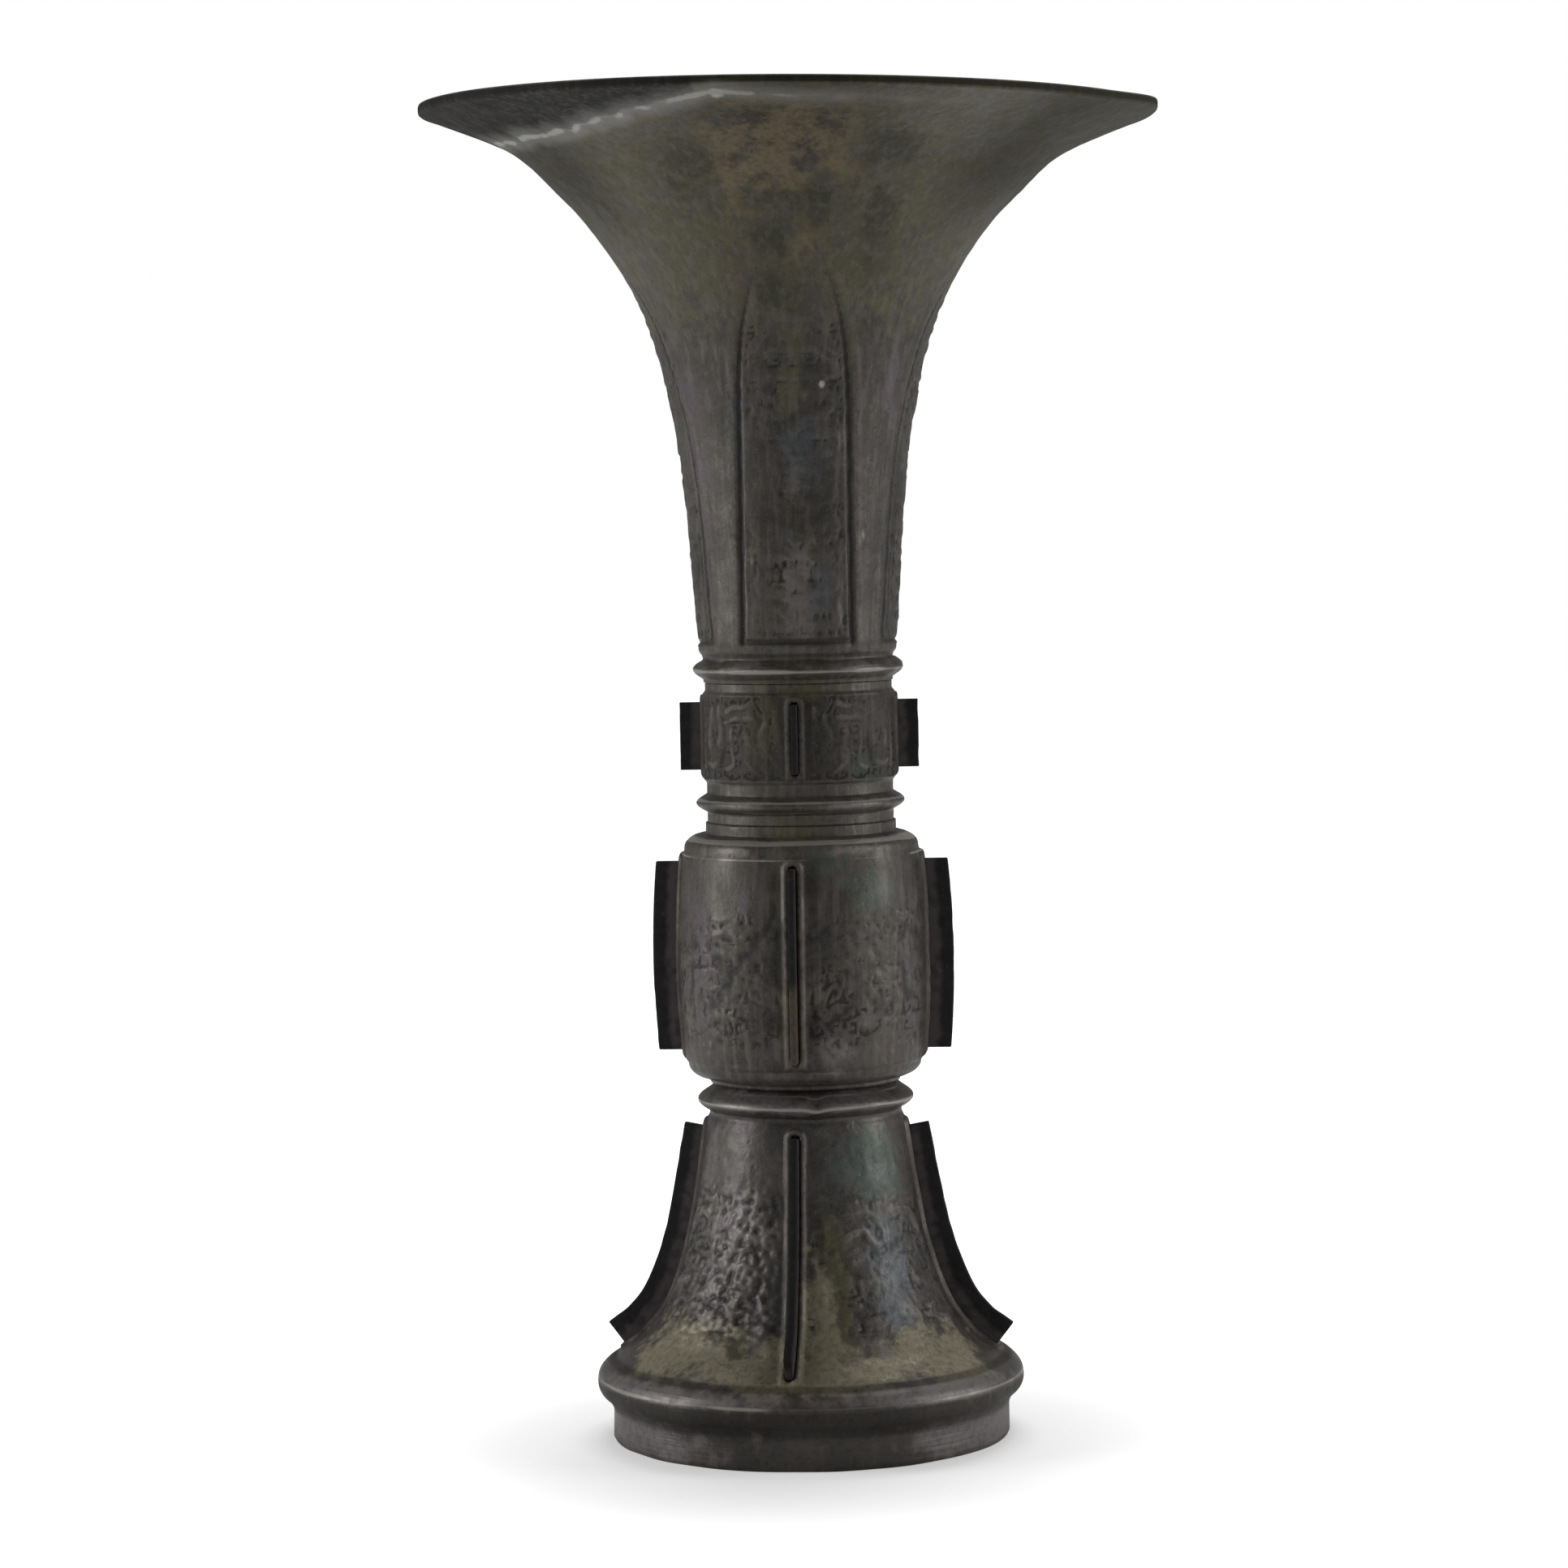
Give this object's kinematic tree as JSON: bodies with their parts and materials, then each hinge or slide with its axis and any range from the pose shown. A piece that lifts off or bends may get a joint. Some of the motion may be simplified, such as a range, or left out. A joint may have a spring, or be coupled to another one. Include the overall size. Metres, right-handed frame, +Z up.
{
  "type": "bronze gu vase",
  "caption": "Tall bronze beaker with a trumpet mouth, slim banded stem, barrel knop and spreading foot with upright flanges.",
  "frame": {"origin": "centre of the foot ring on the plane that the vase stands on", "axes": "+Z up the axis of the vase, the front flanges face -Y, +X to the right as seen from the front"},
  "size_m": [0.1542, 0.1542, 0.2803],
  "materials": {
    "body_bronze": "dark brown patinated bronze with worn low relief, green and reddish patches",
    "foot_bronze": "dark grey-brown patinated bronze, pitted above and smooth on the ring",
    "inner_bronze": "dark unpolished bronze",
    "flange_bronze": "near-black smooth bronze"
  },
  "bodies": {
    "root": {"foot": "foot_bronze", "knop": "body_bronze", "neck_band": "body_bronze", "trumpet_neck": "body_bronze", "floor_plate": "inner_bronze", "foot_flange_front": "flange_bronze", "foot_flange_right": "flange_bronze", "foot_flange_back": "flange_bronze", "foot_flange_left": "flange_bronze", "knop_flange_front": "flange_bronze", "knop_flange_right": "flange_bronze", "knop_flange_back": "flange_bronze", "knop_flange_left": "flange_bronze", "band_flange_front": "flange_bronze", "band_flange_right": "flange_bronze", "band_flange_back": "flange_bronze", "band_flange_left": "flange_bronze"}
  },
  "joints": []
}
